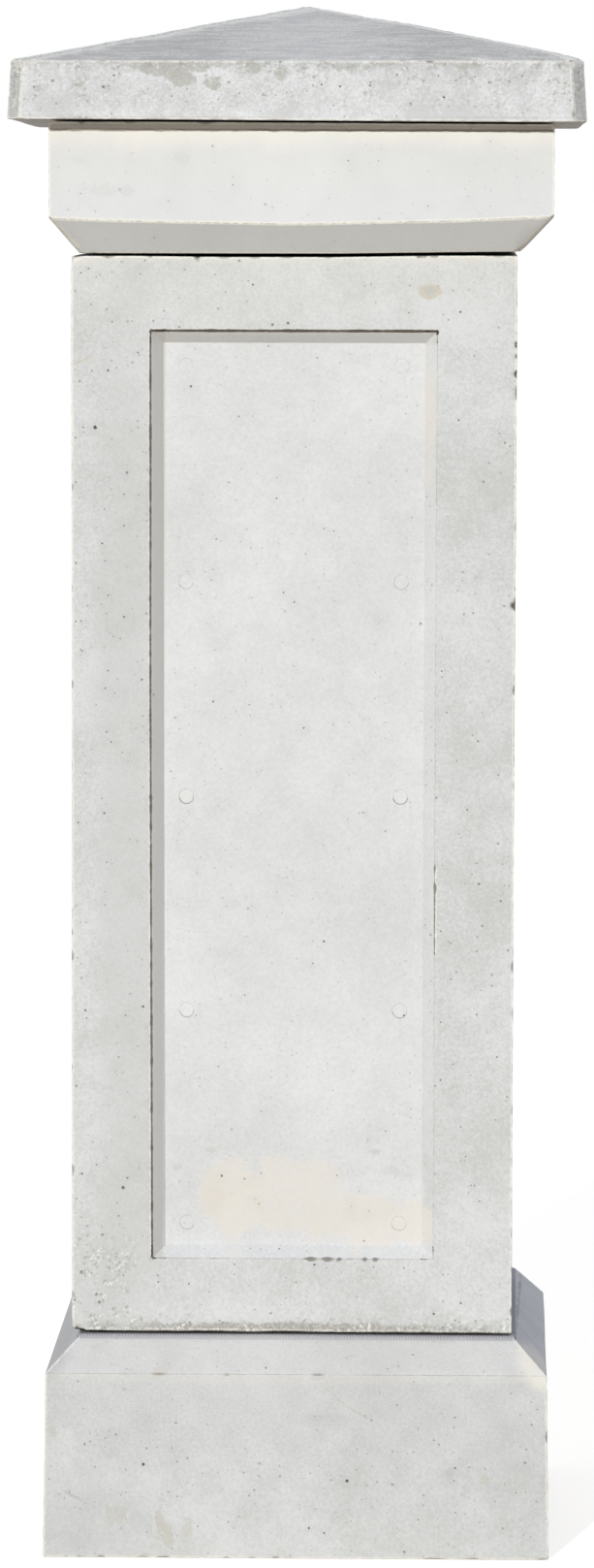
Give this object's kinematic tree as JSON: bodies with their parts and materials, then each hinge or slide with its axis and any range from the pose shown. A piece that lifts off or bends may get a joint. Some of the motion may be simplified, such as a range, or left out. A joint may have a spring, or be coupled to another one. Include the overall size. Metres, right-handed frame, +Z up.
{
  "type": "square concrete pillar",
  "caption": "Square precast concrete pillar with a sunk panel in each face, a chamfered base, an undercut collar and an overhanging cap with a low pyramid top.",
  "frame": {"origin": "middle of the ground line under the base, between its four lower edges", "axes": "+Z up the pillar, -Y out of the front face, +X to the right as seen from the front"},
  "size_m": [0.586, 0.586, 1.5895],
  "materials": {
    "base_concrete": "cast concrete, pitted and lightly stained",
    "shaft_concrete": "smooth cast concrete with air holes and pale stains",
    "collar_concrete": "smooth pale cast concrete",
    "cap_concrete": "cast concrete, weathered and pitted, with a floated top"
  },
  "bodies": {
    "root": {"base": "base_concrete", "shaft": "shaft_concrete", "collar": "collar_concrete", "cap": "cap_concrete"}
  },
  "joints": []
}
